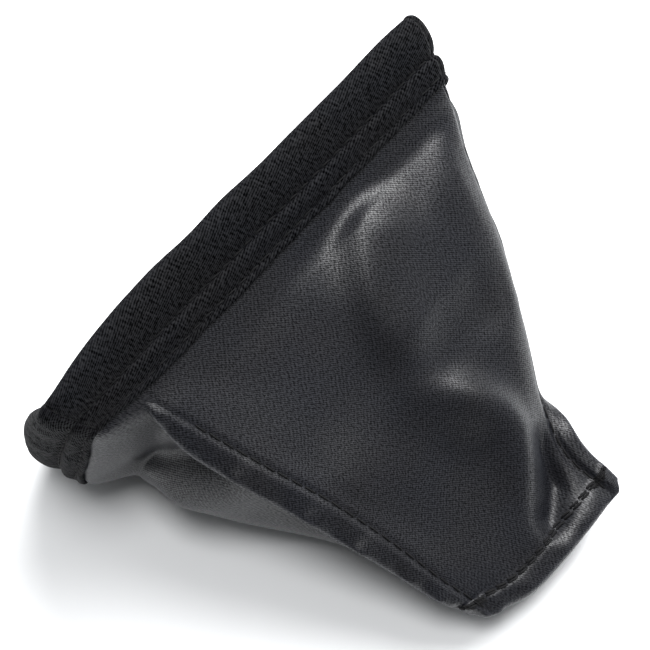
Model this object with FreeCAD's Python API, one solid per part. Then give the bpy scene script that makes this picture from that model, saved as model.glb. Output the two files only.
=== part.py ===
import FreeCAD, Part
import math
import os

# A soft four-sided snoot of thin satin, lying on its bottom panel.
# Millimetres. +X is the heading of the throw, from the mouth to the outlet, +Z is up and
# the surface it lies on is z = 0. Every cross-section is flat and leans LEAN degrees from
# upright, so the shape is drawn in a sloping frame (u along the throw, y across, h up the
# section) and placed() turns it into the row frame.

os.makedirs("parts", exist_ok=True)

LENGTH = 100.0           # fold of the mouth band to the outlet edge
LEAN = 13.0              # lean of every cross-section towards the outlet, degrees
CLOTH = 0.6              # panel cloth
HEM_DEPTH = 6.6          # cloth turned in at the outlet
HEM_THICK = 1.5          # three layers at the hem
FIN_WIDTH = 6.0          # the two plies pinched together along each corner
FIN_IN_BAND = 0.3        # what is left of a fin where the band covers it
FIN_START = 16.5         # where a fin has reached its full width
PLY_GAP = 0.15           # from a fin's middle to the face of either ply

BAND_DEPTH = 14.0        # mouth band, from its fold to its sewn edge
BAND_CLOTH = 0.65
CHANNEL_END = 7.5        # the elastic's channel ends here
CASING_ROW = 8.6         # stitch row that closes the channel
BINDING_ROW = 12.9       # stitch row that holds the panels in the band
CHANNEL_HALF = 1.45      # half the height of the channel
LAP_HALF = 0.6           # half the space left for the panel between the band's plies
PANEL_START = 9.2        # cut edge of the panels, inside the band

ELASTIC_WIDTH = 6.0
ELASTIC_THICK = 1.2
ELASTIC_START = 1.3

STITCH_PITCH = 3.3
STITCH_LENGTH = 2.6
STITCH_RADIUS = 0.22
STITCH_LIFT = 0.32       # thread's middle above the cloth
HEM_ROWS = (0.9, 1.9)    # two stitch rows, measured back from the hem's inner edge
HEM_MARGIN = 5.4         # a hem row on a panel stops this far from each corner
SEAM_INSET = 0.9         # a corner seam's distance from the foot of its fin

# Corner seams: (y, h) at five places along the throw, each the foot of the fin.
SEAM_PLACES = (0.0, 14.0, 40.0, 70.0, LENGTH)
SEAMS = {
    "top_right": ((-56.0, 75.5), (-47.5, 69.0), (-32.0, 59.0), (-20.8, 47.0), (-13.8, 36.0)),
    "top_left": ((55.5, 76.0), (51.5, 69.0), (42.0, 57.0), (28.0, 46.0), (20.0, 37.0)),
    "bottom_left": ((50.0, 12.0), (46.0, 12.5), (38.0, 15.5), (27.0, 20.5), (19.0, 26.8)),
    "bottom_right": ((-51.0, 12.0), (-44.0, 12.5), (-32.0, 15.5), (-20.0, 20.5), (-14.0, 26.6)),
}

# Fins point this way out of each corner (degrees in the section, 0 = +Y, 90 = up).
FIN_HEADING = {"top_right": 176.0, "top_left": 2.0, "bottom_left": -12.0, "bottom_right": 194.0}

# Panels run clockwise seen from the mouth; bulge is outwards at the middle of the side.
PANELS = {
    "top": ("top_right", "top_left", -1.5),
    "left": ("top_left", "bottom_left", 4.0),
    "bottom": ("bottom_left", "bottom_right", 0.0),
    "right": ("bottom_right", "top_right", 6.0),
}
STARTS = {start: panel for panel, (start, _, _) in PANELS.items()}
ENDS = {end: panel for panel, (_, end, _) in PANELS.items()}
SIDE_STEPS = 5
FLOOR_STEPS = (0.0, 0.07, 0.15, 0.26, 0.74, 0.85, 0.93, 1.0)
FLOOR_EDGE = 0.26        # share of the bottom panel that curls up at each side

# The base is flat from FLAT_START on; the thicker band and hem lift it off the surface.
FLAT_START = 32.0
FLAT_END = LENGTH - HEM_DEPTH - 4.0
BASE_MIDDLE = (FLAT_START + FLAT_END) / 2 / math.cos(math.radians(LEAN))
BAND_HALF = CHANNEL_HALF + BAND_CLOTH
WORN_FLAT = 0.05         # the cloth is pressed this much flatter where it lies
SETTLE = 0.2             # the band stays this far above the surface
HEM_SETTLE = 0.65        # and the hem, with its stitches

PANEL_STATIONS = (PANEL_START, BAND_DEPTH + 0.4, FIN_START, 24.0, FLAT_START, 44.0, 56.0, 68.0, 80.0,
                  FLAT_END, LENGTH - HEM_DEPTH - 0.4, LENGTH - HEM_DEPTH, LENGTH)
BAND_OUTSIDE = ((0.0, 1.5), (1.1, BAND_HALF), (CHANNEL_END, BAND_HALF),
                (CASING_ROW, LAP_HALF + BAND_CLOTH), (BAND_DEPTH, LAP_HALF + BAND_CLOTH))
BAND_INSIDE = ((0.7, 1.0), (1.1, CHANNEL_HALF), (CHANNEL_END - 0.2, CHANNEL_HALF),
               (CASING_ROW, LAP_HALF), (BAND_DEPTH + 0.1, LAP_HALF))
MITRE_GAP = 0.15


def between(places, values, at):
    """Smooth curve through the values at the places."""
    total = 0.0
    for i, value in enumerate(values):
        weight = 1.0
        for j, place in enumerate(places):
            if j != i:
                weight *= (at - place) / (places[i] - place)
        total += weight * value
    return total


def corner(name, u):
    points = SEAMS[name]
    y = between(SEAM_PLACES, [p[0] for p in points], u)
    h = between(SEAM_PLACES, [p[1] for p in points], u)
    return (y, h)


def placed(u, point):
    """A point of the sloping frame in the row frame, whose origin is the middle of the flat base."""
    lean = math.radians(LEAN)
    y, h = point
    x = u * math.cos(lean) + h * math.sin(lean) - BASE_MIDDLE
    z = h * math.cos(lean) - u * math.sin(lean)
    return FreeCAD.Vector(x, y, z)


def floor_height(u):
    """Height in the section of the bottom panel's middle layer."""
    on_surface = u * math.tan(math.radians(LEAN)) + CLOTH / 2 - WORN_FLAT
    band_lift = BAND_HALF + SETTLE - CLOTH / 2
    hem_lift = (HEM_THICK - CLOTH) / 2 + HEM_SETTLE
    if u < BAND_DEPTH + 0.4:
        return on_surface + band_lift
    if u < FLAT_START:
        share = (FLAT_START - u) / (FLAT_START - BAND_DEPTH - 0.4)
        return on_surface + band_lift * share
    if u <= FLAT_END:
        return on_surface
    share = min(1.0, (u - FLAT_END) / (LENGTH - HEM_DEPTH - 0.4 - FLAT_END))
    return on_surface + hem_lift * share


def add(a, b, scale=1.0):
    return (a[0] + b[0] * scale, a[1] + b[1] * scale)


def heading(a, b):
    dy, dh = b[0] - a[0], b[1] - a[1]
    size = math.hypot(dy, dh)
    return (dy / size, dh / size)


def side_line(panel, u):
    """Middle layer of one panel across a section, from one corner to the next."""
    start_name, end_name, bulge = PANELS[panel]
    start, end = corner(start_name, u), corner(end_name, u)
    if panel == "bottom":
        low = floor_height(u)
        line = []
        for share in FLOOR_STEPS:
            point = add(start, (end[0] - start[0], end[1] - start[1]), share)
            edge = max(0.0, 1.0 - min(share, 1.0 - share) / FLOOR_EDGE)
            line.append((point[0], low + (point[1] - low) * edge ** 2))
        return line
    along = heading(start, end)
    outward = (-along[1], along[0])
    fullness = math.sin(math.pi * min(1.0, max(0.0, u / LENGTH))) ** 0.5
    line = []
    for step in range(SIDE_STEPS + 1):
        share = step / SIDE_STEPS
        point = add(start, (end[0] - start[0], end[1] - start[1]), share)
        line.append(add(point, outward, bulge * fullness * 4 * share * (1 - share)))
    return line


def normals(line, first=None, last=None):
    """Outward offset for each point; the ends may follow a given direction instead."""
    result = []
    for i in range(len(line)):
        before = heading(line[i - 1], line[i]) if i > 0 else None
        after = heading(line[i], line[i + 1]) if i < len(line) - 1 else None
        before = before or after
        after = after or before
        middle = (before[0] + after[0], before[1] + after[1])
        size = math.hypot(*middle)
        across = (-middle[1] / size, middle[0] / size)
        reach = 1.0 / max(0.5, across[0] * -before[1] + across[1] * before[0])
        result.append((across[0] * reach, across[1] * reach))
    if first:
        face = heading(line[0], line[1])
        result[0] = scaled_to(first, (-face[1], face[0]))
    if last:
        face = heading(line[-2], line[-1])
        result[-1] = scaled_to(last, (-face[1], face[0]))
    return result


def scaled_to(direction, face):
    """Lengthen a mitre direction so that it stands one unit off the face."""
    reach = direction[0] * face[0] + direction[1] * face[1]
    return (direction[0] / reach, direction[1] / reach)


def mitre(name, u):
    """Outward bisector of the two bands that meet at a corner."""
    arriving = side_line(ENDS[name], u)
    leaving = side_line(STARTS[name], u)
    a = heading(arriving[-2], arriving[-1])
    b = heading(leaving[0], leaving[1])
    outward = (-a[1] - b[1], a[0] + b[0])
    size = math.hypot(*outward)
    return (outward[0] / size, outward[1] / size)


def section_wire(u, outer, inner):
    points = [placed(u, p) for p in outer + inner[::-1]]
    return Part.makePolygon(points + points[:1])


def ruled_solid(wires):
    solid = Part.makeLoft(wires, True, True)
    if solid.Volume < 0:
        solid.reverse()
    return solid


def fin_width(u):
    if u <= BAND_DEPTH + 0.4:
        return FIN_IN_BAND
    return FIN_WIDTH


def cloth_thickness(u):
    return HEM_THICK if u >= LENGTH - HEM_DEPTH else CLOTH


def fin_frame(name, u, side):
    """Foot of a fin's ply and its heading; side is +1 or -1 of the fin's middle."""
    angle = math.radians(FIN_HEADING[name])
    out = (math.cos(angle), math.sin(angle))
    across = (-out[1], out[0])
    shift = side * (PLY_GAP + cloth_thickness(u) / 2)
    return add(corner(name, u), across, shift), out, across


def panel_section(panel, u):
    """Closed outline of one panel with its two fin plies."""
    start_name, end_name, _ = PANELS[panel]
    line = side_line(panel, u)
    start_foot, start_out, _ = fin_frame(start_name, u, -1)
    end_foot, end_out, _ = fin_frame(end_name, u, 1)
    if u <= BAND_DEPTH + 0.4:
        start_foot = add(line[0], heading(line[0], line[1]), 1.0)
        end_foot = add(line[-1], heading(line[-1], line[-2]), 1.0)
        start_out = heading(line[1], line[0])
        end_out = heading(line[-2], line[-1])
    line[0] = start_foot
    line[-1] = end_foot
    line.insert(0, add(start_foot, start_out, fin_width(u)))
    line.append(add(end_foot, end_out, fin_width(u)))
    half = cloth_thickness(u) / 2
    offsets = normals(line)
    outer = [add(p, n, half) for p, n in zip(line, offsets)]
    inner = [add(p, n, -half) for p, n in zip(line, offsets)]
    return section_wire(u, outer, inner)


def make_panel(panel):
    cloth = ruled_solid([panel_section(panel, u) for u in PANEL_STATIONS])
    if panel == "bottom":
        cloth = cloth.cut(below_surface())
    return cloth


def below_surface():
    """Everything under z = 0, which leaves the base a true flat face."""
    size = 3 * LENGTH
    return Part.makeBox(size, size, size, FreeCAD.Vector(-size / 2, -size / 2, -size))


def band_section(panel, u, half, gap=MITRE_GAP):
    """Outline of a band standing half each side of the panel's line, mitred at the corners."""
    start_name, end_name, _ = PANELS[panel]
    line = side_line(panel, u)
    line[0] = add(line[0], heading(line[0], line[1]), gap)
    line[-1] = add(line[-1], heading(line[-1], line[-2]), gap)
    offsets = normals(line, mitre(start_name, u), mitre(end_name, u))
    outer = [add(p, n, half) for p, n in zip(line, offsets)]
    inner = [add(p, n, -half) for p, n in zip(line, offsets)]
    return section_wire(u, outer, inner)


def make_band(panel):
    """Folded strip: closed at the mouth, open towards the panel, hollow for the elastic."""
    body = ruled_solid([band_section(panel, u, half) for u, half in BAND_OUTSIDE])
    channel = ruled_solid([band_section(panel, u, half, -1.0) for u, half in BAND_INSIDE])
    return body.cut(channel)


def make_elastic():
    """Flat elastic sewn into a closed loop, lying in the four channels."""
    half = ELASTIC_THICK / 2
    ends = (ELASTIC_START, ELASTIC_START + ELASTIC_WIDTH)
    runs = [ruled_solid([band_section(panel, u, half, 0.0) for u in ends]) for panel in PANELS]
    loop = runs[0]
    for run in runs[1:]:
        loop = loop.fuse(run)
    return loop


def stitch(start, end):
    along = end - start
    along.normalize()
    length = min(STITCH_LENGTH, (end - start).Length)
    middle = (start + end) * 0.5
    return Part.makeCylinder(STITCH_RADIUS, length, middle - along * (length / 2), along)


def walk(points, pitch, margin):
    """Pairs of points one stitch apart along a line of points."""
    spans = [(b - a).Length for a, b in zip(points, points[1:])]
    total = sum(spans)

    def at(distance):
        for a, b, span in zip(points, points[1:], spans):
            if distance <= span:
                return a + (b - a) * (distance / span)
            distance -= span
        return points[-1]

    count = int((total - 2 * margin) / pitch)
    first = (total - count * pitch) / 2
    for i in range(count):
        yield at(first + i * pitch), at(first + (i + 1) * pitch)


def row_around(u, off, margin=3.0):
    """One stitch row right round the snoot, on the outside."""
    stitches = []
    for panel in PANELS:
        line = side_line(panel, u)
        line = [add(p, n, off) for p, n in zip(line, normals(line))]
        points = [placed(u, p) for p in line]
        stitches += [stitch(a, b) for a, b in walk(points, STITCH_PITCH, margin)]
    return stitches


def make_corner_seam(name):
    """Lockstitch along the foot of a fin, seen on both of its faces."""
    stitches = []
    for side in (1, -1):
        points = []
        for u in PANEL_STATIONS:
            if u < FIN_START or u > LENGTH - HEM_DEPTH - 0.4:
                continue
            foot, out, across = fin_frame(name, u, side)
            lift = side * (cloth_thickness(u) / 2 + STITCH_LIFT)
            points.append(placed(u, add(add(foot, out, SEAM_INSET + 0.4), across, lift)))
        stitches += [stitch(a, b) for a, b in walk(points, STITCH_PITCH, 1.0)]
    return stitches


def bar(start, end, radius):
    """A dense bar of zigzag thread between two points."""
    along = end - start
    return Part.makeCylinder(radius, along.Length, start, along)


def make_outlet_bar_tacks():
    """Back-tacks across each fin where the hem rows start and end."""
    bars = []
    u = LENGTH - HEM_DEPTH + HEM_ROWS[0]
    for name in SEAMS:
        up = 1 if fin_frame(name, u, 1)[2][1] > 0 else -1
        foot, out, across = fin_frame(name, u, up)
        lift = up * (HEM_THICK / 2 + STITCH_LIFT + 0.1)
        start = add(add(foot, out, 1.6), across, lift)
        end = add(add(foot, out, FIN_WIDTH - 0.6), across, lift)
        bars.append(bar(placed(u, start), placed(u, end), 0.35))
    return bars


def make_band_join_threads():
    """Seams that join the four strips of the band, one down each corner."""
    stitches = []
    for name in SEAMS:
        points = []
        for u, half in BAND_OUTSIDE[1:]:
            line = side_line(STARTS[name], u)
            face = heading(line[0], line[1])
            out = scaled_to(mitre(name, u), (-face[1], face[0]))
            points.append(placed(u, add(corner(name, u), out, half + STITCH_LIFT)))
        stitches += [stitch(a, b) for a, b in walk(points, STITCH_PITCH, 0.5)]
    return stitches


def make_elastic_join():
    """Zigzag that closes the elastic loop, inside the bottom channel."""
    stitches = []
    for step in range(3):
        u = ELASTIC_START + 1.2 + step * 2.2
        line = side_line("bottom", u)
        middle = (line[3][0] + line[4][0]) / 2
        h = line[3][1] + ELASTIC_THICK / 2 + STITCH_LIFT
        stitches.append(stitch(placed(u, (middle - 2.0, h)), placed(u + 1.4, (middle + 2.0, h + 0.3))))
    return stitches


def save(name, shape):
    if isinstance(shape, list):
        shape = Part.makeCompound(shape)
    shape.exportStep("parts/%s.step" % name)
    print("%-28s solids %3d valid %s volume %.1f" % (name, len(shape.Solids), shape.isValid(), shape.Volume))


def main():
    for panel in PANELS:
        save("panel_" + panel, make_panel(panel))
        save("mouth_band_" + panel, make_band(panel))
    save("mouth_elastic", make_elastic())
    save("elastic_join_thread", make_elastic_join())
    for name in SEAMS:
        save("seam_thread_" + name, make_corner_seam(name))
    lap = LAP_HALF + BAND_CLOTH + STITCH_LIFT
    save("casing_thread", row_around(CASING_ROW + 0.4, lap))
    save("binding_thread", row_around(BINDING_ROW, lap))
    hem_off = HEM_THICK / 2 + STITCH_LIFT
    hem_start = LENGTH - HEM_DEPTH
    hem = [row_around(hem_start + row, hem_off, HEM_MARGIN) for row in HEM_ROWS]
    save("outlet_hem_thread", hem[0] + hem[1])
    save("outlet_bar_tacks", make_outlet_bar_tacks())
    save("band_join_thread", make_band_join_threads())


if __name__ == "__main__":
    main()
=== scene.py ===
import math
import bpy
import numpy as np
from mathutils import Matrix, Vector, noise


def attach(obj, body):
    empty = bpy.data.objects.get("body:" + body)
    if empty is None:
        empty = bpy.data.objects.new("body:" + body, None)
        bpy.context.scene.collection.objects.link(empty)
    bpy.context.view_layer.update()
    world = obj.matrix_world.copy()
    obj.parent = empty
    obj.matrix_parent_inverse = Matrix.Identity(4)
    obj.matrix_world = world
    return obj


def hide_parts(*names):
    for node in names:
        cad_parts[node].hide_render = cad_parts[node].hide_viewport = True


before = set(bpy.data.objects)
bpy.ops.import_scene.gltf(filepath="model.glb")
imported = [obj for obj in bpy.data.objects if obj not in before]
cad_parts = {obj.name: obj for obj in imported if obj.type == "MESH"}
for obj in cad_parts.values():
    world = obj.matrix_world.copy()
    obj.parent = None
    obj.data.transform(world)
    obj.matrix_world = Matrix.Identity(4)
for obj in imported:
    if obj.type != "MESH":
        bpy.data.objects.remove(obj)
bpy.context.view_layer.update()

# The soft snoot in its cloth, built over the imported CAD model. Lengths are millimetres in this
# script and turn into metres where a mesh is made. The shape is drawn in a sloping frame: u runs
# along the throw from the mouth's fold, y across and h up a cross-section that leans LEAN degrees.

MM = 0.001

# ---------------------------------------------------------------- driving sizes
# These have the same values as in part.py.
LENGTH = 100.0
LEAN = math.radians(13.0)
HEM_DEPTH = 6.6
BAND_DEPTH = 14.0
CASING_ROW = 8.6
BINDING_ROW = 12.9
PANEL_START = 9.2
ELASTIC_START = 1.3
ELASTIC_WIDTH = 6.0
FLAT_START = 32.0
FLAT_END = LENGTH - HEM_DEPTH - 4.0
BASE_MIDDLE = (FLAT_START + FLAT_END) / 2 / math.cos(LEAN)
STITCH_PITCH = 3.3

# These and the tables that follow are the cloth's own. Where part.py has the same name, its values differ.
HEM_ROWS = (0.9, 1.6)
STITCH_LENGTH = 3.0
SEAM_INSET = 1.1
FIN_START = 12.0        # the fins start to grow here
FIN_GROWTH = 19.0       # and reach their full width over this length
MOUTH_TOP = 106         # length of the mouth's top side
MOUTH_RIGHT = 62        # and of its right-hand side

# Feet of the corner fins: (u, y, h).
SEAMS = {
    "top_right": ((9, -39.5, 67.5), (14, -37.8, 65.3), (26, -33.8, 60.6), (40, -29.4, 56.0),
                  (55, -24.3, 51.2),
                  (70, -20.4, 45.8), (85, -17.4, 40.5), (100, -13.8, 35.2)),
    "top_left": ((9, 54.5, 69.0), (14, 53.4, 66.5), (26, 47.8, 60.5), (46, 40.6, 51.5), (62, 32.4, 44.5),
                 (74, 25.0, 40.5), (84, 20.8, 37.6), (100, 21.2, 35.6)),
    "bottom_left": ((9, 48.0, 12.5), (14, 46.0, 12.5), (40, 38.0, 15.5), (70, 27.0, 20.8), (100, 19.0, 27.2)),
    "bottom_right": ((9, -41.0, 12.5), (14, -39.5, 12.5), (40, -27.5, 15.2), (70, -15.5, 20.6),
                     (100, -10.0, 27.0)),
}
# Corners of the mouth band's loop: (u, y, h).
LOOP_CORNERS = {
    "top_right": ((-2, -56.4, 76.0), (0, -56.0, 75.3), (14, -50.5, 64.8), (26, -45.5, 60.5)),
    "top_left": ((-2, 55.6, 76.6), (0, 55.2, 76.2), (14, 53.2, 69.6), (26, 49.0, 62.5)),
    "bottom_left": ((-2, 50.3, 12.0), (0, 50.0, 12.0), (14, 47.0, 12.8), (26, 43.0, 14.0)),
    "bottom_right": ((-2, -51.3, 12.0), (0, -51.0, 12.0), (14, -46.5, 12.8), (26, -42.0, 14.0)),
}
# Where each panel's two seams meet the band, as shares of that side of the loop.
LOOP_SPAN = {"top": (0.122, 0.996), "left": (0.004, 0.996), "bottom": (0.004, 0.996), "right": (0.004, 1.118)}
# Direction of each fin in the section, at the band and at the outlet (degrees, 0 = +Y, 90 = up).
FIN_HEADING = {
    "top_right": (198.0, 190.0),
    "top_left": (-74.0, 10.0),
    "bottom_left": (-12.0, -10.0),
    "bottom_right": (206.0, 196.0),
}
FIN_WIDTHS = {
    "top_right": ((14, 6.6), (40, 7.2), (60, 7.4), (80, 5.8), (100, 4.9)),
    "top_left": ((14, 5.2), (60, 5.4), (80, 5.6), (100, 4.4)),
    "bottom_left": ((14, 6.0), (100, 5.6)),
    "bottom_right": ((14, 4.6), (60, 4.6), (100, 5.0)),
}
PANELS = {
    "top": ("top_right", "top_left"),
    "left": ("top_left", "bottom_left"),
    "bottom": ("bottom_left", "bottom_right"),
    "right": ("bottom_right", "top_right"),
}
# Outward fullness of each side along the throw: (u, millimetres).
BULGE = {
    "top": ((0, -1.2), (40, 0.4), (100, 0.6)),
    "left": ((0, 3.0), (20, 3.4), (40, 3.0), (60, 2.0), (85, 0.6), (100, 0.3)),
    "bottom": ((0, 0.0), (100, 0.0)),
    "right": ((0, 1.4), (14, 4.4), (24, 8.2), (38, 10.2), (60, 6.6), (85, 2.2), (100, 0.4)),
}
ORDER = list(PANELS)

CLOTH = 0.38            # satin, shown thickness
BAND_CLOTH = 0.5
HEM_RADIUS = 0.75       # half the thickness of the rolled hem
EDGE_CURL = 0.26        # share of the bottom panel that curls up at each side
CORNER_ROUND = 2.4      # how far the mouth's corners are rounded
FIN_STEPS = 15


# ---------------------------------------------------------------- small helpers
def smooth(low, high, x):
    t = np.clip((np.asarray(x, float) - low) / (high - low), 0.0, 1.0)
    return t * t * (3 - 2 * t)


def mix(a, b, share):
    return a * (1 - share) + b * share


def bump(x, centre, width):
    return np.exp(-(((np.asarray(x, float) - centre) / width) ** 2))


def curve(places, values, at):
    """Smooth curve through the values at the places."""
    x, y = np.asarray(places, float), np.asarray(values, float)
    at = np.clip(np.asarray(at, float), x[0], x[-1])
    slope = np.gradient(y, x)
    i = np.clip(np.searchsorted(x, at, side="right") - 1, 0, len(x) - 2)
    step = x[i + 1] - x[i]
    t = (at - x[i]) / step
    return ((1 + 2 * t) * (1 - t) ** 2 * y[i] + t * (1 - t) ** 2 * step * slope[i]
            + t * t * (3 - 2 * t) * y[i + 1] + t * t * (t - 1) * step * slope[i + 1])


def track(points, at):
    """(y, h) of a table of (u, y, h) points at each u."""
    u, y, h = zip(*points)
    return np.stack([curve(u, y, at), curve(u, h, at)], -1)


def level(points, at):
    u, value = zip(*points)
    return curve(u, value, at)


def unit(v):
    return v / np.maximum(np.linalg.norm(v, axis=-1, keepdims=True), 1e-9)


def placed(u, yh):
    """Points of the sloping frame in the row frame, in millimetres."""
    u = np.broadcast_to(u, yh.shape[:-1])
    x = u * math.cos(LEAN) + yh[..., 1] * math.sin(LEAN) - BASE_MIDDLE
    z = yh[..., 1] * math.cos(LEAN) - u * math.sin(LEAN)
    return np.stack([x, yh[..., 0], z], -1)


def facing(normal):
    """A direction in the cross-section, turned into the row frame."""
    zero = np.zeros(normal.shape[:-1])
    return unit(placed(zero, normal) - placed(zero, normal * 0))


def rough(a, b, size, seed):
    """Smooth noise from about -1 to 1 over two coordinates, the same every run."""
    a, b = np.broadcast_arrays(np.asarray(a, float) / size, np.asarray(b, float) / size)
    values = [noise.noise(Vector((p, q, seed * 7.31))) for p, q in zip(a.ravel(), b.ravel())]
    return np.array(values).reshape(a.shape) * 1.6


# ---------------------------------------------------------------- folds in the cloth
def near_path(y, u, path):
    """Distance to a path in the cloth, the share of its length there, and which flank."""
    best = np.full(y.shape, 1e9)
    share = np.zeros(y.shape)
    side = np.zeros(y.shape)
    lengths = [math.dist(a, b) for a, b in zip(path, path[1:])]
    done = 0.0
    for (a, b), length in zip(zip(path, path[1:]), lengths):
        dy, du = (b[0] - a[0]) / length, (b[1] - a[1]) / length
        along = np.clip((y - a[0]) * dy + (u - a[1]) * du, 0, length)
        py, pu = y - a[0] - along * dy, u - a[1] - along * du
        away = np.hypot(py, pu)
        closer = away < best
        best = np.where(closer, away, best)
        share = np.where(closer, (done + along) / sum(lengths), share)
        side = np.where(closer, py * du - pu * dy, side)
        done += length
    return best, share, side


def fold(y, u, path, height, width, other, fade=0.2):
    """A soft ridge or hollow along a path; its two flanks may differ in width."""
    away, share, side = near_path(y, u, fine_path(path))
    spread = mix(other, width, smooth(-4.0, 4.0, side))
    ends = smooth(0, fade, share) * smooth(0, fade, 1 - share)
    return height * np.exp(-((away / spread) ** 2)) * ends


def fine_path(path):
    """The same path with a smooth curve through its points."""
    knots = np.arange(len(path), dtype=float)
    at = np.linspace(0, len(path) - 1, 6 * (len(path) - 1) + 1)
    y, u = zip(*path)
    return [tuple(p) for p in np.stack([curve(knots, y, at), curve(knots, u, at)], -1)]


# Path as (y, u) points, height, width of one flank and of the other, share faded at the ends.
TOP_FOLDS = (
    (((30, 17), (21, 22), (14, 29), (9.5, 37), (8, 46), (12, 56)), 4.0, 11.0, 6.5, 0.3),
    (((-4, 42), (1, 51), (10, 62), (14, 72), (10.5, 81), (3, 89), (-7, 95)), 4.6, 5.0, 7.0, 0.42),
    (((33, 24), (38, 28), (46, 29)), 0.8, 8.0, 8.0, 0.4),
    (((-24, 48), (-11, 60), (2, 65)), 1.0, 10.0, 9.0, 0.35),
    (((21, 76), (18.5, 84), (12, 90), (3, 95)), -4.2, 3.6, 4.4, 0.25),
    (((26, 42), (28, 50), (27, 60)), -1.4, 9.0, 9.0, 0.4),
)
# The same for the right-hand wall, with the distance up from its lower seam instead of y.
RIGHT_FOLDS = (
    (((14, 14), (26, 23), (38, 31), (50, 41)), -4.2, 4.2, 3.6, 0.2),
    (((12, 28), (24, 36), (38, 47)), 2.4, 6.0, 6.0, 0.3),
    (((22, 50), (30, 62), (34, 76)), -3.6, 5.0, 5.0, 0.25),
    (((32, 38), (42, 48)), 1.6, 4.0, 4.0, 0.35),
)


def relief(panel, y, u, across):
    """Height of the folds of a panel; across is the distance from its first seam."""
    seed = ORDER.index(panel) + 1.0
    total = 0.4 * rough(across, u * 0.7, 30.0, seed) + 0.05 * rough(across, u, 10.0, seed + 3)
    under_band = smooth(13, 17, u) * (1 - smooth(20, 36, u))
    total = total + 0.16 * rough(across, u * 0.15, 8.0, seed + 5) * under_band
    if panel == "top":
        for path, height, width, other, fade in TOP_FOLDS:
            total = total + fold(y, u, path, height, width, other, fade)
        total = eased(total)
    if panel == "right":
        for path, height, width, other, fade in RIGHT_FOLDS:
            total = total + fold(across, u, path, height, width, other, fade)
        total = eased(total)
    return total


def eased(grid, passes=14):
    """A grid of heights with its small steps smoothed away."""
    for _ in range(passes):
        padded = np.pad(grid, 1, mode="edge")
        beside = padded[:-2, 1:-1] + padded[2:, 1:-1] + padded[1:-1, :-2] + padded[1:-1, 2:]
        grid = 0.5 * grid + 0.125 * beside
    return grid


SHOULDER = ((9, 0), (15, 0.5), (24, 3.2), (40, 4.6), (60, 4.4), (74, 3.0), (84, 1.2), (100, 0.2))


def shoulder(panel, s, u):
    """The top panel stands over its left seam and rolls down to it."""
    if panel != "top":
        return 0.0
    reach = level(SHOULDER, u)
    past = np.clip((s - 0.87) / 0.13, 0, 1)
    return reach * smooth(0.1, 0.86, s) * np.sqrt(np.clip(1 - past ** 2, 0, 1))


# ---------------------------------------------------------------- cross-sections
def floor_height(u):
    """Height in the section of the bottom panel's middle layer, which lies on the surface."""
    resting = u * math.tan(LEAN) + CLOTH / 2 + 0.08
    band = 2.6 * (1 - smooth(BAND_DEPTH, FLAT_START, u))
    hem = 1.0 * smooth(FLAT_END, LENGTH - HEM_DEPTH, u)
    return resting + band + hem


def chord(panel, s, u, start, end):
    """Middle layer of a panel between two feet, before folds; also its outward normal."""
    point = start + (end - start) * s[..., None]
    along = unit(end - start)
    out = np.broadcast_to(np.stack([-along[..., 1], along[..., 0]], -1), point.shape)
    if panel == "bottom":
        low = floor_height(u)
        edge = np.clip(1 - np.minimum(s, 1 - s) / EDGE_CURL, 0, 1) ** 2
        return np.stack([point[..., 0], low + (point[..., 1] - low) * edge], -1), out
    lean = {"right": 0.72, "left": 1.7}.get(panel, 1.0)      # where along the side it is fullest
    arch = level(BULGE[panel], u) * np.sin(np.pi * np.clip(s, 0, 1) ** lean)
    return point + out * arch[..., None], out


def fin_frame(name, u):
    """Foot, heading and across-direction of a corner fin at each u."""
    near_band, near_outlet = FIN_HEADING[name]
    turn = smooth(71.0, 85.0, u) if name == "top_left" else smooth(20.0, 90.0, u)
    angle = np.radians(mix(near_band, near_outlet, turn))
    out = np.stack([np.cos(angle), np.sin(angle)], -1)
    return track(SEAMS[name], u), out, np.stack([-out[..., 1], out[..., 0]], -1)


LOOP_STEPS = 150


def mouth_loop(u):
    """The whole mouth section at one u with rounded corners: points and outward normals."""
    s = np.arange(LOOP_STEPS) / LOOP_STEPS
    at = np.full(s.shape, u)
    loop = np.concatenate([
        chord(panel, s, at, track(LOOP_CORNERS[start], at), track(LOOP_CORNERS[end], at))[0]
        for panel, (start, end) in PANELS.items()])
    step = np.linalg.norm(np.roll(loop, -1, 0) - loop, axis=1).mean()
    reach = int(4 * CORNER_ROUND / step)
    kernel = np.exp(-0.5 * (np.arange(-reach, reach + 1) * step / CORNER_ROUND) ** 2)
    kernel /= kernel.sum()
    soft = sum(weight * np.roll(loop, k, 0) for k, weight in zip(range(-reach, reach + 1), kernel))
    tangent = unit(np.roll(soft, -1, 0) - np.roll(soft, 1, 0))
    return soft, np.stack([-tangent[:, 1], tangent[:, 0]], -1)


LOOP_U = np.linspace(-2.0, 26.0, 57)
LOOPS = [mouth_loop(u) for u in LOOP_U]
LOOP_POINTS = np.stack([p for p, _ in LOOPS])
LOOP_NORMALS = np.stack([n for _, n in LOOPS])


def on_loop(panel, s, u):
    """Point and normal of the rounded mouth loop; s may run past a side's end."""
    total = LOOP_STEPS * len(ORDER)
    place = (ORDER.index(panel) + s) * LOOP_STEPS
    i = np.floor(place).astype(int)
    f = (place - i)[..., None]
    row = np.clip((u - LOOP_U[0]) / (LOOP_U[1] - LOOP_U[0]), 0, len(LOOP_U) - 1.001)
    r = np.floor(row).astype(int)
    g = (row - r)[..., None]

    def read(table):
        a = mix(table[r, i % total], table[r, (i + 1) % total], f)
        b = mix(table[r + 1, i % total], table[r + 1, (i + 1) % total], f)
        return mix(a, b, g)

    return read(LOOP_POINTS), unit(read(LOOP_NORMALS))


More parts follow.
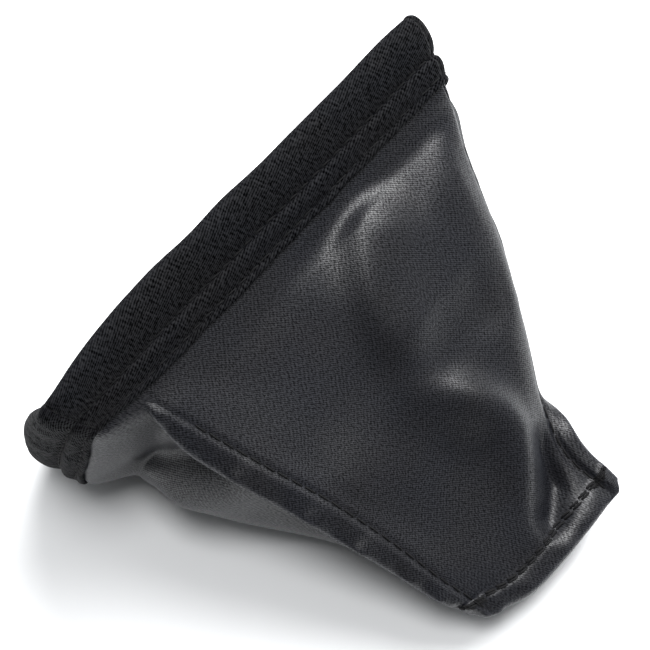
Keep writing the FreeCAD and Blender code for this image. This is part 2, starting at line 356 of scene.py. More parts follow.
def slip(panel, s, u):
    """How far the rim stands out of its plane along the throw, most at the top right corner."""
    if panel == "top":
        from_corner = np.abs(s) * MOUTH_TOP
    elif panel == "right":
        from_corner = np.where(s > 1, (s - 1) * MOUTH_TOP, (1 - s) * MOUTH_RIGHT)
    else:
        from_corner = np.full(np.shape(s), 200.0)
    corner_at_rim = mix(3.4, -1.2, np.clip(u / BAND_DEPTH, 0, 1)) * np.exp(-((from_corner / 12.0) ** 2))
    wave = 0.35 * rough(from_corner, u * 0 + 9.0, 13.0, 2.0) * np.exp(-((u / 9.0) ** 2))
    wave = wave * smooth(0.0, 12.0, from_corner)
    return corner_at_rim * (1 - smooth(BAND_DEPTH, 30.0, u)) + wave


def outlet_slip(panel, s, u, start_w, end_w):
    """The outlet edge runs back towards the right-hand fins, and more below than above."""
    grown = smooth(78.0, LENGTH, u)
    if panel == "top":
        body = -2.4 * np.exp(-((s / 0.16) ** 2)) + 0.6 * np.sin(np.pi * s)
    elif panel == "right":
        body = mix(-7.5, -2.4, s)
    elif panel == "bottom":
        body = mix(-3.5, -7.5, s)
    else:
        body = -3.5 * s
    share = np.maximum(start_w, end_w)
    tip = -2.1 * smooth(0.35, 1.0, share) ** 2
    trailing = {"top": start_w, "right": end_w}.get(panel, 0.0 * s)
    return grown * (body + (tip - 2.6 * trailing) * smooth(84.0, LENGTH, u))


def pucker(distance):
    """1 midway between two needle holes, 0 at a hole."""
    return 0.5 - 0.5 * np.cos(2 * np.pi * (distance / STITCH_PITCH))


def fin_gap(w, u, width):
    """Half the distance between a fin's plies: closed at the stitches and the edge, puffed between."""
    past = np.clip((w - SEAM_INSET) / np.maximum(width - SEAM_INSET, 0.1), 0, 1)
    puff = 0.75 * smooth(SEAM_INSET, SEAM_INSET + 1.5, w) * np.sqrt(np.clip(1 - past ** 4, 0, 1))
    return foot_gap(u) + puff


def fin_width(name, u):
    """The fin starts at almost nothing in the band and grows to its full width."""
    grown = np.sin(np.pi / 2 * np.clip((np.asarray(u) - FIN_START) / FIN_GROWTH, 0, 1))
    return level(FIN_WIDTHS[name], u) * mix(0.04, 1.0, grown)


def foot_gap(u):
    return CLOTH / 2 - 0.02 + 0.4 * smooth(LENGTH - HEM_DEPTH - 0.2, LENGTH - HEM_DEPTH + 1.2, u)


def fin_wave(name, u):
    seed = list(SEAMS).index(name)
    wave = 0.75 * rough(u, 0 * u + seed * 3.0, 8.0, 4.0 + seed) + 0.25 * rough(u, 0 * u, 3.4, 9.0 + seed)
    return wave * (1 - 0.8 * smooth(66.0, 74.0, u) if name == "top_left" else 1.35)


# ---------------------------------------------------------------- meshes
def make_mesh(name, verts, faces, uvs, wear=None):
    mesh = bpy.data.meshes.new(name)
    mesh.vertices.add(len(verts))
    mesh.vertices.foreach_set("co", (verts * MM).astype(np.float32).ravel())
    mesh.loops.add(faces.size)
    mesh.loops.foreach_set("vertex_index", faces.astype(np.int32).ravel())
    mesh.polygons.add(len(faces))
    mesh.polygons.foreach_set("loop_start", np.arange(0, faces.size, 4, dtype=np.int32))
    mesh.polygons.foreach_set("use_smooth", np.ones(len(faces), bool))
    layer = mesh.uv_layers.new(name="cloth")
    layer.data.foreach_set("uv", uvs[faces.ravel()].astype(np.float32).ravel())
    if wear is not None:
        attribute = mesh.attributes.new("wear", "FLOAT", "POINT")
        attribute.data.foreach_set("value", wear.astype(np.float32).ravel())
    mesh.update(calc_edges=True)
    mesh.validate()
    obj = bpy.data.objects.new(name, mesh)
    bpy.context.scene.collection.objects.link(obj)
    return obj


def grid_normals(points):
    return unit(np.cross(np.gradient(points, axis=1), np.gradient(points, axis=0)))


def grid_mesh(name, points, thickness, wear):
    """Thin closed sheet from a grid of middle points (rows, columns, 3) in millimetres."""
    rows, cols = points.shape[:2]
    offset = grid_normals(points) * thickness / 2
    verts = np.concatenate([(points + offset).reshape(-1, 3), (points - offset).reshape(-1, 3)])
    uvs = np.concatenate([cloth_coords(points).reshape(-1, 2)] * 2)
    i = (np.arange(rows - 1)[:, None] * cols + np.arange(cols - 1)[None, :]).ravel()
    front = np.stack([i, i + 1, i + cols + 1, i + cols], -1)
    back = front[:, ::-1] + rows * cols
    rim = np.concatenate([
        np.arange(cols), np.arange(1, rows) * cols + cols - 1,
        ((rows - 1) * cols + np.arange(cols - 1))[::-1], (np.arange(1, rows - 1) * cols)[::-1]])
    nxt = np.roll(rim, -1)
    side = np.stack([nxt, rim, rim + rows * cols, nxt + rows * cols], -1)
    faces = np.concatenate([front, back, side])
    return make_mesh(name, verts, faces, uvs, np.concatenate([wear.ravel()] * 2))


def cloth_coords(points):
    """Distances along and across the cloth, in millimetres, from a grid of points."""
    right = np.linalg.norm(np.diff(points, axis=1), axis=-1)
    down = np.linalg.norm(np.diff(points, axis=0), axis=-1)
    middle = points.shape[1] // 2
    x = np.concatenate([np.zeros((points.shape[0], 1)), np.cumsum(right, 1)], 1)
    x = x - x[:, middle:middle + 1]
    y = np.concatenate([[0.0], np.cumsum(down[:, middle])])
    return np.stack([x, np.broadcast_to(y[:, None], x.shape)], -1)


# ---------------------------------------------------------------- panels
def panel_rows():
    """(u, inset) down the outer face, round the outlet edge and back in the hem; the outer count."""
    outer = np.concatenate([np.linspace(PANEL_START, 22.0, 30)[:-1], np.linspace(22.0, 88.0, 104)[:-1],
                            np.linspace(88.0, LENGTH - HEM_RADIUS, 34)])
    turn = np.linspace(0, np.pi, 9)[1:-1]
    inner = np.linspace(LENGTH - HEM_RADIUS, LENGTH - HEM_DEPTH, 10)
    u = np.concatenate([outer, LENGTH - HEM_RADIUS + HEM_RADIUS * np.sin(turn), inner])
    inset = np.concatenate([np.zeros(len(outer)), HEM_RADIUS * (1 - np.cos(turn)),
                            np.full(len(inner), 2 * HEM_RADIUS)])
    return u, inset, len(outer)


def panel_columns():
    """(s, start fin share, end fin share) across a panel, finer near the seams."""
    fin = np.linspace(1, 0, FIN_STEPS)[:-1]
    main = np.linspace(0, 1, 150)
    main = mix(main, 0.5 - 0.5 * np.cos(np.pi * main), 0.6)
    s = np.concatenate([np.zeros(len(fin)), main, np.ones(len(fin))])
    start = np.concatenate([fin, np.zeros(len(main) + len(fin))])
    end = np.concatenate([np.zeros(len(fin) + len(main)), fin[::-1]])
    return s, start, end


def panel_surface(panel, u, inset, s, start_w, end_w):
    """Middle-layer points for rows (u, inset) and columns (s, fin shares) of one panel."""
    start_name, end_name = PANELS[panel]
    U = np.broadcast_to(u[:, None], (len(u), len(s)))
    S = np.broadcast_to(s[None, :], U.shape)
    inside = inset / (2 * HEM_RADIUS)
    free = smooth(15.0, 22.0, u)
    sides = {}
    for name, sign, share in ((start_name, -1, start_w), (end_name, 1, end_w)):
        foot, out, across = fin_frame(name, u)
        width = fin_width(name, u)
        w = share[None, :] * width[:, None]
        gap = fin_gap(w, U, width[:, None]) * mix(1.0, 0.3, inside)[:, None]
        wave = fin_wave(name, u)[:, None] * (share[None, :] ** 1.5) * smooth(14.0, 22.0, u)[:, None]
        ply = foot[:, None] + out[:, None] * w[..., None] + across[:, None] * (sign * gap + wave)[..., None]
        rooted = foot + across * (sign * foot_gap(u) * mix(1.0, 0.3, inside))[:, None]
        sides[name] = (ply, rooted)
    start = sides[start_name][1][:, None]
    end = sides[end_name][1][:, None]
    body, out = chord(panel, S, U, start, end)
    width = np.linalg.norm(end - start, axis=-1)
    edge_away = np.minimum(S, 1 - S) * width
    lift = relief(panel, body[..., 0], U, S * width) * smooth(0, 5.0, edge_away)
    lift = lift + shoulder(panel, S, U)
    if panel == "bottom":
        lift = np.abs(lift) * -0.3
    hem_at = (u - LENGTH + HEM_DEPTH) / HEM_DEPTH
    roll = 0.30 * np.sin(np.pi * np.clip((hem_at - 0.3) / 0.7, 0, 1))
    first_row, second_row = (LENGTH - HEM_DEPTH + back for back in HEM_ROWS)
    groove = 0.24 * (bump(u, first_row, 0.55) + 0.8 * bump(u, second_row, 0.5))
    crumple = 0.42 * rough(S * width, U * 0.35, 5.0, 31.0 + ORDER.index(panel))
    crumple = crumple * smooth(LENGTH - HEM_DEPTH, LENGTH, u)[:, None]
    rolled = (roll - groove)[:, None] + (crumple if panel != "bottom" else 0.0)
    rolled = rolled * (1 - inside)[:, None] * smooth(0, 2.5, edge_away)
    inwards = inset[:, None] * smooth(0, 1.5, edge_away)
    body = body + out * (lift + rolled - inwards)[..., None]
    first, last = LOOP_SPAN[panel]
    loop, _ = on_loop(panel, mix(first, last, S), np.minimum(U, 25.0))
    body = mix(loop, body, free[:, None, None])
    for name, share in ((start_name, start_w), (end_name, end_w)):
        ply, rooted = sides[name]
        ply = mix(loop + (ply - rooted[:, None]), ply, free[:, None, None])
        body = np.where((share > 0)[None, :, None], ply, body)
    shift = slip(panel, mix(first, last, S), U) + outlet_slip(panel, S, U, start_w[None, :], end_w[None, :])
    return placed(U + shift, body)


def soften(points, columns, passes=3):
    """Round the crease where a fin leaves the panel."""
    for _ in range(passes):
        eased = points.copy()
        for c in columns:
            eased[:, c] = 0.5 * points[:, c] + 0.25 * (points[:, c - 1] + points[:, c + 1])
        points = eased
    return points


def panel_wear(u, start_w, end_w):
    """Share of rubbing, along the fin edges and the outlet edge."""
    fins = np.maximum(smooth(0.8, 1.0, start_w), smooth(0.8, 1.0, end_w))[None, :]
    edge = bump(u, LENGTH, 1.0)[:, None]
    return np.maximum(fins, edge) * np.ones((len(u), len(start_w)))


class Sheet:
    """One panel's grid, so that stitches can be laid on it."""

    def __init__(self, panel):
        self.panel = panel
        self.u, inset, self.outer = panel_rows()
        self.s, self.start_w, self.end_w = panel_columns()
        points = panel_surface(panel, self.u, inset, self.s, self.start_w, self.end_w)
        creases = [c + k for c in (FIN_STEPS - 1, len(self.s) - FIN_STEPS) for k in (-1, 0, 1)]
        points = soften(points, creases)
        points[..., 2] = np.maximum(points[..., 2], CLOTH / 2 + 0.02)
        self.points = points
        self.normals = -grid_normals(points)

    def row(self, u):
        return np.interp(u, self.u[:self.outer], np.arange(self.outer))

    def read(self, rows, cols, lift):
        rows, cols = np.broadcast_arrays(np.asarray(rows, float), np.asarray(cols, float))
        r = np.clip(rows.astype(int), 0, len(self.u) - 2)
        c = np.clip(cols.astype(int), 0, len(self.s) - 2)
        f, g = (rows - r)[:, None], (cols - c)[:, None]

        def blend(table):
            return mix(mix(table[r, c], table[r, c + 1], g), mix(table[r + 1, c], table[r + 1, c + 1], g), f)

        normal = unit(blend(self.normals))
        return blend(self.points) + normal * (CLOTH / 2 + lift), normal


def make_panel(sheet, material):
    panel = sheet.panel
    wear = panel_wear(sheet.u, sheet.start_w, sheet.end_w)
    obj = grid_mesh("satin_panel_" + panel, sheet.points, CLOTH, wear)
    obj.data.materials.append(material)
    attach(obj, "root")
    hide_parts("panel_" + panel)


# ---------------------------------------------------------------- mouth band
def spline(points, steps):
    """Catmull-Rom curve through points."""
    pts = np.array([points[0]] + list(points) + [points[-1]], float)
    t = np.linspace(0, 1, steps, endpoint=False)[:, None]
    out = [0.5 * (2 * b + (c - a) * t + (2 * a - 5 * b + 4 * c - d) * t ** 2
                  + (3 * b - a - 3 * c + d) * t ** 3)
           for a, b, c, d in zip(pts, pts[1:], pts[2:], pts[3:])]
    return np.concatenate(out + [pts[-1:]])


# (u, offset) round the folded strip: sewn edge, outside, fold at the mouth, inside.
BAND_OUTER = ((13.6, 0.62), (14.1, 0.72), (14.25, 1.0), (13.9, 1.25), (12.9, 0.95), (12.2, 1.35), (11.0, 1.7),
              (9.8, 1.5), (9.0, 0.8), (8.5, 0.78), (7.7, 1.55), (6.2, 2.2), (4.2, 2.4), (2.2, 2.15),
              (0.7, 1.4), (-0.1, 0.0))
BAND_INNER = ((0.7, -1.4), (2.2, -2.0), (4.2, -2.2), (6.4, -1.85), (7.7, -1.2), (8.6, -0.75), (10.0, -1.2),
              (11.4, -1.3), (12.9, -0.85), (13.9, -0.95))


def band_surface(panel, s, profile, outward):
    u = profile[:, :1] + 0 * s[None, :]
    S = np.broadcast_to(s[None, :], u.shape)
    base, normal = on_loop(panel, S, np.clip(u, -1.5, 21.0))
    length = np.linalg.norm(np.diff(base[len(base) // 2], axis=0), axis=1).sum()
    around = S * length
    end = np.minimum(S, 1 - S) * length
    free = smooth(0.0, 7.0, end)
    edge = 0.35 * rough(around, 0 * u, 7.0, 51.0 + ORDER.index(panel)) * smooth(11.5, 13.8, u) * free
    mitre = 0.4 * np.exp(-((end / 0.7) ** 2))
    offset = profile[:, 1:] + outward[:, None] * (gathers(panel, around, u) * mix(0.3, 1.0, free) - mitre)
    return placed(u + slip(panel, S, u) + edge, base + normal * offset[..., None])


def gathers(panel, around, u):
    """Small ribs across the band where the elastic gathers it, and dimples at its stitch rows."""
    seed = ORDER.index(panel) + 1.0
    ribs = 0.14 * rough(around, u * 0.3, 1.8, seed) + 0.28 * rough(around, u * 0.4, 6.5, seed + 11)
    rows = np.maximum(bump(u, CASING_ROW, 0.8), bump(u, BINDING_ROW, 0.7))
    casing, strip = bump(u, 4.5, 4.0), bump(u, 11.2, 1.7)
    return ribs * np.maximum(casing, 0.85 * strip) + 0.2 * (pucker(around) - 0.5) * rows


def make_band(panel, material):
    start, end = PANELS[panel]
    length = np.linalg.norm(track(LOOP_CORNERS[end], 0.0) - track(LOOP_CORNERS[start], 0.0))
    s = np.linspace(0.0015, 0.9985, int(length / 0.45))
    profile = spline(BAND_OUTER + BAND_INNER, 4)
    outward = np.where(np.arange(len(profile)) < 4 * len(BAND_OUTER) - 3, 1.0, -1.0)
    points = band_surface(panel, s, profile, outward)
    points[..., 2] = np.maximum(points[..., 2], BAND_CLOTH / 2 + 0.02)
    wear = bump(profile[:, 0], -0.1, 1.2)[:, None] * np.ones((1, len(s)))
    obj = grid_mesh("twill_band_" + panel, points, BAND_CLOTH, wear)
    obj.data.materials.append(material)
    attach(obj, "root")
    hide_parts("mouth_band_" + panel)


def make_elastic(material):
    """Flat ribbed elastic, one closed loop in the four channels."""
    rows = np.linspace(ELASTIC_START, ELASTIC_START + ELASTIC_WIDTH, 13)
    s = np.linspace(0.0, 1.0, 120)
    parts = []
    for panel in ORDER:
        u = rows[:, None] + 0 * s[None, :]
        base, normal = on_loop(panel, np.broadcast_to(s, u.shape), u)
        parts.append(placed(u + slip(panel, np.broadcast_to(s, u.shape), u), base)[:, :-1])
    points = np.concatenate(parts + [parts[0][:, :1]], axis=1)
    wear = np.zeros(points.shape[:2])
    obj = grid_mesh("mouth_elastic_tape", points, 0.9, wear)
    obj.data.materials.append(material)
    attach(obj, "root")
    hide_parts("mouth_elastic")


# ---------------------------------------------------------------- stitches
RING, SEGMENTS = 6, 7
SEAM_SHOWS = 24.0       # a corner seam's stitches are shown from here on
LAST_STITCH = LENGTH - 1.2
FINE_THREAD = 0.13      # radii of the threads
SEAM_THREAD = 0.21
HEM_THREAD = 0.28
TACK_THREAD = 0.2


def lockstitches(points, normals, pitch, length, radius, slant=0.0):
    """Tubes for a run of stitches: each rises from one needle hole and dives into the next."""
    walked = np.concatenate([[0.0], np.cumsum(np.linalg.norm(np.diff(points, axis=0), axis=1))])
    count = int(walked[-1] // pitch)
    if count < 1:
        return np.zeros((0, SEGMENTS, RING, 3)), np.zeros((0, SEGMENTS, RING, 2))
    first = (walked[-1] - count * pitch) / 2
    t = np.linspace(-1, 1, SEGMENTS)
    at = first + (np.arange(count)[:, None] + 0.5) * pitch + t[None, :] * length / 2
    centre = np.stack([np.interp(at, walked, points[:, k]) for k in range(3)], -1)
    up = unit(np.stack([np.interp(at, walked, normals[:, k]) for k in range(3)], -1))
    along = unit(np.gradient(centre, axis=1))
    side = unit(np.cross(along, up))
    centre = centre + up * (radius * (0.75 - 1.7 * t ** 4))[None, :, None] + side * (slant * t)[None, :, None]
    along = unit(np.gradient(centre, axis=1))
    side = unit(np.cross(along, up))
    rise = np.cross(side, along)
    angle = np.arange(RING) * 2 * np.pi / RING
    thick = radius * (1 - 0.35 * t ** 6)
    tube = (centre[:, :, None] + thick[None, :, None, None]
            * (side[:, :, None] * np.cos(angle)[:, None] + rise[:, :, None] * np.sin(angle)[:, None]))
    uv = np.stack(np.broadcast_arrays(at[:, :, None], (angle * radius)[None, None, :]), -1)
    return tube, uv


def make_thread(name, tubes, node, material):
    """One mesh from many tubes; it stands for one thread node."""
    verts = np.concatenate([tube for tube, _ in tubes])
    uvs = np.concatenate([uv for _, uv in tubes])
    count = len(verts)
    ids = np.arange(count * SEGMENTS * RING).reshape(count, SEGMENTS, RING)
    a, b = ids[:, :-1], ids[:, 1:]
    walls = np.stack([a, np.roll(a, -1, 2), np.roll(b, -1, 2), b], -1).reshape(-1, 4)
    ends = np.concatenate([ids[:, 0][:, [3, 2, 1, 0]], ids[:, 0][:, [5, 4, 3, 0]],
                           ids[:, -1][:, [0, 1, 2, 3]], ids[:, -1][:, [0, 3, 4, 5]]])
    flat = verts.reshape(-1, 3)
    flat[:, 2] = np.maximum(flat[:, 2], 0.02)
    obj = make_mesh(name, flat, np.concatenate([walls, ends]), uvs.reshape(-1, 2))
    obj.data.materials.append(material)
    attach(obj, "root")
    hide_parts(node)


def seam_threads(name, sheets, material):
    """A corner seam, seen on the outer face of both plies of its fin."""
    tubes = []
    u = np.linspace(SEAM_SHOWS, LAST_STITCH, 240)
    inwards = (FIN_STEPS - 1) * (1 - SEAM_INSET / fin_width(name, u))
    for panel, (start, end) in PANELS.items():
        sheet = sheets[panel]
        if name == start:
            cols = inwards
        elif name == end:
            cols = len(sheet.s) - 1 - inwards
        else:
            continue
        points, normals = sheet.read(sheet.row(u), cols, 0.0)
        tubes.append(lockstitches(points, normals, STITCH_PITCH, STITCH_LENGTH, SEAM_THREAD, 0.10))
    make_thread("corner_seam_stitches_" + name, tubes, "seam_thread_" + name, material)


def band_row(panel, u, offset):
    """Points and normals along one row of the band at one u."""
    s = np.linspace(0.006, 0.994, 260)
    profile = np.array([[u, offset]])
    points = band_surface(panel, s, profile, np.ones(1))[0]
    _, normal = on_loop(panel, s, np.full(s.shape, u))
    return points, facing(normal)


def band_threads(name, u, offset, node, radius, material):
    """One row of stitches round the whole band."""
    tubes = []
    for panel in ORDER:
        points, normals = band_row(panel, u, offset)
        tubes.append(lockstitches(points, normals, STITCH_PITCH, STITCH_LENGTH, radius, 0.05))
    make_thread(name, tubes, node, material)


def hem_threads(sheets, material):
    """Two rows round the outlet, run on across the fins."""
    tubes = []
    for back in HEM_ROWS:
        for panel in ORDER:
            sheet = sheets[panel]
            cols = np.linspace(1.5, len(sheet.s) - 2.5, 500)
            points, normals = sheet.read(sheet.row(LENGTH - HEM_DEPTH + back + 0 * cols), cols, 0.0)
            pitch, length = STITCH_PITCH * 0.86, STITCH_LENGTH * 0.88
            tubes.append(lockstitches(points, normals, pitch, length, HEM_THREAD, 0.16))
    make_thread("outlet_hem_stitches", tubes, "outlet_hem_thread", material)


def bar_tacks(sheets, material):
    """Dense back-tacking where the hem rows cross each fin and run on into the panel."""
    tubes = []
    for panel in ORDER:
        sheet = sheets[panel]
        last = len(sheet.s) - 1
        for span in ((1.0, FIN_STEPS + 6.0), (last - FIN_STEPS - 6.0, last - 1.0)):
            for k in range(2):
                cols = np.linspace(*span, 60)
                zigzag = 0.3 * np.sin(np.linspace(0, 9 * np.pi, 60)) + 0.35 + 0.7 * k
                rows = sheet.row(LENGTH - HEM_DEPTH + HEM_ROWS[0] + zigzag)
                points, normals = sheet.read(rows, cols, 0.1)
                tubes.append(lockstitches(points, normals, 1.0, 1.2, TACK_THREAD, 0.3))
    make_thread("outlet_back_tacks", tubes, "outlet_bar_tacks", material)


def band_joins(material):
    """Short seams down the band's corners."""
    tubes = []
    u = np.linspace(1.6, 13.6, 60)
    profile = spline(BAND_OUTER, 4)
    order = np.argsort(profile[:, 0])
    offset = np.interp(u, profile[order, 0], profile[order, 1])
    for panel in ORDER:
        base, normal = on_loop(panel, np.zeros(u.shape), u)
        lifted = base + normal * (offset - 0.45 + BAND_CLOTH / 2)[:, None]
        points = placed(u + slip(panel, np.zeros(u.shape), u), lifted)
        tubes.append(lockstitches(points, facing(normal), 2.4, 1.9, FINE_THREAD))
    make_thread("band_corner_stitches", tubes, "band_join_thread", material)


def elastic_join(material):
    """Zigzag that closes the elastic loop, inside the bottom channel."""
    s = np.linspace(0.485, 0.515, 40)
    u = ELASTIC_START + ELASTIC_WIDTH / 2 + 2.2 * np.sin(np.linspace(0, 5 * np.pi, 40))
    base, normal = on_loop("bottom", s, u)
    points = placed(u + slip("bottom", s, u), base - normal * 0.5)
    zigzag = lockstitches(points, facing(-normal), 1.6, 1.5, FINE_THREAD)
    make_thread("elastic_join_stitches", [zigzag], "elastic_join_thread", material)


# ---------------------------------------------------------------- materials
class Shader:
    """A material's node tree with short ways to add nodes."""

    def __init__(self, name):
        self.material = bpy.data.materials.new(name)
        self.material.use_nodes = True
        self.tree = self.material.node_tree
        self.bsdf = self.tree.nodes["Principled BSDF"]

    def node(self, kind, settings=(), **sockets):
        made = self.tree.nodes.new("ShaderNode" + kind)
        for key, value in dict(settings).items():
            setattr(made, key, value)
        for key, value in sockets.items():
            numbered = key[0] == "i" and key[1:].isdigit()
            self.feed(made.inputs[int(key[1:]) if numbered else key.replace("_", " ")], value)
        return made

    def feed(self, socket, value):
        if isinstance(value, bpy.types.NodeSocket):
            self.tree.links.new(value, socket)
        else:
            socket.default_value = value

    def math(self, operation, a, b):
        return self.node("Math", {"operation": operation}, i0=a, i1=b).outputs[0]

    def cloth(self, angle, stretch=(1, 1, 1)):
        uv = self.node("UVMap", {"uv_map": "cloth"}).outputs["UV"]
        return self.node("Mapping", Vector=uv, Rotation=(0, 0, math.radians(angle)), Scale=stretch).outputs[0]

    def grain(self, vector, scale, detail=2.0, rough=0.5):
        return self.node("TexNoise", Vector=vector, Scale=scale, Detail=detail, Roughness=rough).outputs[0]

    def ribs(self, vector, period, distortion=0.0):
        """Bands across x, one every period millimetres."""
        return self.node("TexWave", {"wave_type": "BANDS"}, Vector=vector, Scale=0.3142 / period,
                         Distortion=distortion, Detail=1.0, Detail_Scale=2.0).outputs["Fac"]

    def ramp(self, fac, *stops):
        made = self.node("ValToRGB", i0=fac)
        colours = made.color_ramp.elements
        while len(colours) < len(stops):
            colours.new(0.5)
        for element, (position, colour) in zip(colours, stops):
            element.position = position
            element.color = (*colour, 1)
        return made.outputs[0]

    def blend(self, how, fac, a, b):
        made = self.node("Mix", {"data_type": "RGBA", "blend_type": how})
        self.feed(made.inputs[0], fac)
        self.feed(made.inputs[6], a)
        self.feed(made.inputs[7], b)
        return made.outputs[2]

    def remap(self, value, low, high, start=0.0, stop=1.0):
        return self.node("MapRange", i0=value, i1=start, i2=stop, i3=low, i4=high).outputs[0]

    def bump(self, height, strength, depth):
        return self.node("Bump", Strength=strength, Distance=depth * MM, Height=height).outputs[0]


def cloth_material(name, dark, light, ribs, angle, roughness, sheen, worn, speckle, rib_share, shine):
    """Woven cloth: ribs of the weave, speckled yarn, blotches, and paler rubbed edges."""
    sh = Shader(name)
    plain, turned = sh.cloth(0), sh.cloth(angle)
    weave = sh.math("MULTIPLY", sh.ribs(turned, ribs, 1.2), rib_share)
    cross = sh.math("MULTIPLY", sh.ribs(sh.cloth(angle + 90), ribs * 1.9, 1.8), 0.10)
    yarn = sh.grain(sh.cloth(angle, (1.0, 0.55, 1.0)), speckle, 2.5, 0.62)
    surface = sh.math("ADD", sh.math("ADD", weave, cross), sh.math("MULTIPLY", yarn, 1.15))
    blotch = sh.grain(plain, 0.05, 3.0)
    body = sh.ramp(surface, (0.52, dark), (0.98, light))
    cool = sh.ramp(blotch, (0.35, (0.96, 1.0, 1.1)), (0.65, (1.12, 1.02, 0.92)))
    body = sh.blend("MULTIPLY", 0.6, body, cool)
    rubbed = sh.node("Attribute", {"attribute_name": "wear"}).outputs["Fac"]
    rubbed = sh.math("MULTIPLY", rubbed, sh.remap(sh.grain(plain, 0.9), 0.1, worn))
    body = sh.blend("MIX", rubbed, body, (*[v * 3.2 + 0.012 for v in light], 1))
    sh.feed(sh.bsdf.inputs["Base Color"], body)
    sh.feed(sh.bsdf.inputs["Roughness"], sh.remap(surface, roughness + 0.12, roughness - 0.08))
    sh.feed(sh.bsdf.inputs["Sheen Weight"], sheen)
    sh.feed(sh.bsdf.inputs["Sheen Roughness"], 0.34)
    sh.feed(sh.bsdf.inputs["Sheen Tint"], (0.80, 0.86, 1.0, 1))
    sh.feed(sh.bsdf.inputs["Normal"], sh.bump(surface, 0.55, 0.06))
    sh.feed(sh.bsdf.inputs["Specular IOR Level"], sh.remap(surface, *shine, 0.58, 0.96))
    return sh.material


def satin_material():
    return cloth_material("satin", dark=(0.0006, 0.0007, 0.0011), light=(0.0115, 0.0122, 0.0160),
                          ribs=0.42, angle=52, roughness=0.46, sheen=0.03, worn=0.25, speckle=2.9,
                          rib_share=0.26, shine=(0.10, 0.66))


def twill_material():
    return cloth_material("twill", dark=(0.0002, 0.0002, 0.0003), light=(0.0062, 0.0066, 0.0082),
                          ribs=0.50, angle=68, roughness=0.82, sheen=0.0, worn=0.12, speckle=1.7,
                          rib_share=0.30, shine=(0.0, 0.18))


def elastic_material():
    return cloth_material("elastic", dark=(0.012, 0.012, 0.013), light=(0.045, 0.045, 0.047),
                          ribs=0.85, angle=90, roughness=0.7, sheen=0.1, worn=0.1, speckle=2.6, rib_share=0.6,
                          shine=(0.2, 0.4))


def thread_material():
    """Twisted polyester thread: a slanting ply line and a slight shine."""
    sh = Shader("thread")
    ply = sh.ribs(sh.cloth(38), 0.22)
    fuzz = sh.grain(sh.cloth(0), 6.0)
    body = sh.ramp(sh.math("ADD", sh.math("MULTIPLY", ply, 0.6), sh.math("MULTIPLY", fuzz, 0.5)),
                   (0.2, (0.0016, 0.0016, 0.0018)), (0.95, (0.011, 0.011, 0.012)))
    sh.feed(sh.bsdf.inputs["Base Color"], body)
    sh.feed(sh.bsdf.inputs["Roughness"], sh.remap(fuzz, 0.55, 0.7))
    sh.feed(sh.bsdf.inputs["Specular IOR Level"], 0.15)
    sh.feed(sh.bsdf.inputs["Normal"], sh.bump(ply, 0.7, 0.05))
    return sh.material


# ---------------------------------------------------------------- studio
def make_floor():
    mesh = bpy.data.meshes.new("floor")
    size = 30.0
    corners = [(-size, -size, 0), (size, -size, 0), (size, size, 0), (-size, size, 0)]
    mesh.from_pydata(corners, [], [(0, 1, 2, 3)])
    floor = bpy.data.objects.new("floor", mesh)
    bpy.context.scene.collection.objects.link(floor)
    sh = Shader("pale_floor")
    sh.feed(sh.bsdf.inputs["Base Color"], (0.93, 0.94, 0.95, 1))
    sh.feed(sh.bsdf.inputs["Roughness"], 0.9)
    sh.feed(sh.bsdf.inputs["Specular IOR Level"], 0.0)
    mesh.materials.append(sh.material)


def look(obj, target):
    obj.rotation_euler = (Vector(target) - obj.location).to_track_quat("-Z", "Y").to_euler()


def area_light(name, azimuth, elevation, distance, size, power):
    light = bpy.data.lights.new(name, "AREA")
    light.shape = "DISK"
    light.size = size
    light.energy = power
    obj = bpy.data.objects.new(name, light)
    a, e = math.radians(azimuth), math.radians(elevation)
    middle = Vector((0.0, 0.0, 0.03))
    heading = Vector((math.cos(a) * math.cos(e), math.sin(a) * math.cos(e), math.sin(e)))
    obj.location = middle + heading * distance
    look(obj, middle)
    bpy.context.scene.collection.objects.link(obj)


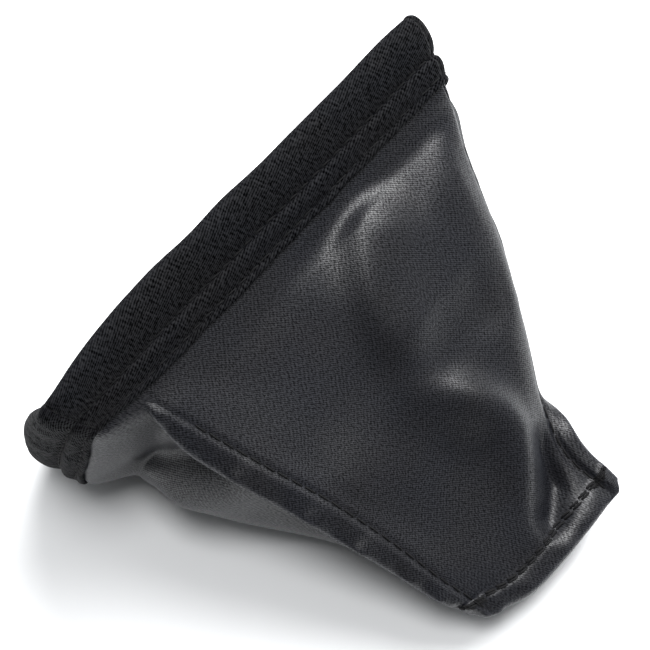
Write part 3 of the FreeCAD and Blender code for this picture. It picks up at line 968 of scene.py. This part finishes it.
def make_camera():
    azimuth, elevation, distance = math.radians(41.0), math.radians(66.0), 0.42
    aim = Vector((-0.0237, 0.004, 0.036))
    level_out = math.cos(elevation)
    back = Vector((math.sin(azimuth) * level_out, -math.cos(azimuth) * level_out, math.sin(elevation)))
    data = bpy.data.cameras.new("camera")
    data.lens = 110.0
    data.sensor_width = 36.0
    cam = bpy.data.objects.new("camera", data)
    cam.location = aim + back * distance
    look(cam, aim)
    bpy.context.scene.collection.objects.link(cam)
    bpy.context.scene.camera = cam


def make_studio():
    make_floor()
    area_light("key", azimuth=102.0, elevation=56.0, distance=0.9, size=0.80, power=15.5)
    area_light("overhead", azimuth=-75.0, elevation=82.0, distance=0.9, size=0.30, power=4.2)
    world = bpy.data.worlds.new("studio")
    world.use_nodes = True
    tree = world.node_tree
    heading = tree.nodes.new("ShaderNodeTexCoord")
    towards = tree.nodes.new("ShaderNodeVectorMath")
    towards.operation = "DOT_PRODUCT"
    towards.inputs[1].default_value = (-0.25, 0.66, 0.71)
    strength = tree.nodes.new("ShaderNodeMapRange")
    strength.inputs["From Min"].default_value = -0.1
    strength.inputs["From Max"].default_value = 1.0
    strength.inputs["To Min"].default_value = 0.03
    strength.inputs["To Max"].default_value = 0.80
    tree.links.new(heading.outputs["Generated"], towards.inputs[0])
    tree.links.new(towards.outputs["Value"], strength.inputs["Value"])
    tree.links.new(strength.outputs[0], tree.nodes["Background"].inputs["Strength"])
    tree.nodes["Background"].inputs["Color"].default_value = (0.97, 0.985, 1.0, 1)
    bpy.context.scene.world = world
    bpy.context.scene.view_settings.view_transform = "Standard"
    make_camera()


satin, twill, thread = satin_material(), twill_material(), thread_material()
sheets = {panel: Sheet(panel) for panel in ORDER}
for side in ORDER:
    make_panel(sheets[side], satin)
for side in ORDER:
    make_band(side, twill)
make_elastic(elastic_material())
for seam in SEAMS:
    seam_threads(seam, sheets, thread)
band_threads("casing_stitches", u=CASING_ROW + 0.1, offset=0.98, node="casing_thread", radius=0.17,
             material=thread)
band_threads("binding_stitches", u=BINDING_ROW, offset=1.2, node="binding_thread", radius=0.14,
             material=thread)
hem_threads(sheets, thread)
bar_tacks(sheets, thread)
band_joins(thread)
elastic_join(thread)
make_studio()
